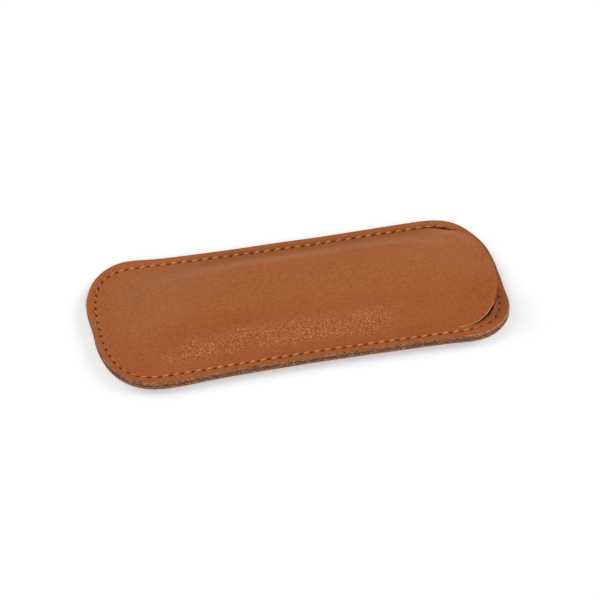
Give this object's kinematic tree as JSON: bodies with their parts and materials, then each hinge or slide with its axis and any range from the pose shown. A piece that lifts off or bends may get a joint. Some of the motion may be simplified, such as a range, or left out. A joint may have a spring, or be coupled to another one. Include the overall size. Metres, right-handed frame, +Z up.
{
  "type": "pen case",
  "caption": "Flat leather slip case for short pens: a moulded front panel sewn to a back panel all round, with a slit tongue at the end as its mouth.",
  "frame": {"origin": "middle of the back panel's underside, on the surface that the case lies on", "axes": "+X along the case towards its mouth, +Y across it, +Z up through the back panel to the moulded front"},
  "size_m": [0.1352, 0.0634, 0.0097],
  "materials": {
    "front_leather": "tan full-grain cowhide, smooth semi-matt face, raw fibrous cut edge",
    "back_leather": "tan full-grain cowhide, smooth semi-matt face, raw fibrous cut edge",
    "thread": "twisted waxed sewing thread in a paler tan"
  },
  "bodies": {
    "pouch": {"back_panel": "back_leather", "front_panel": "front_leather", "needle_thread": "thread", "bobbin_thread": "thread"},
    "tongue": {"mouth_tongue": "front_leather"}
  },
  "joints": [
    {"name": "tongue_flex", "type": "hinge", "parent": "pouch", "child": "tongue", "pos_m": [0.046, 0, 0.0098], "axis": [0, -1, 0], "range_deg": [0, 25], "stiffness_Nm_per_rad": 0.02}
  ]
}
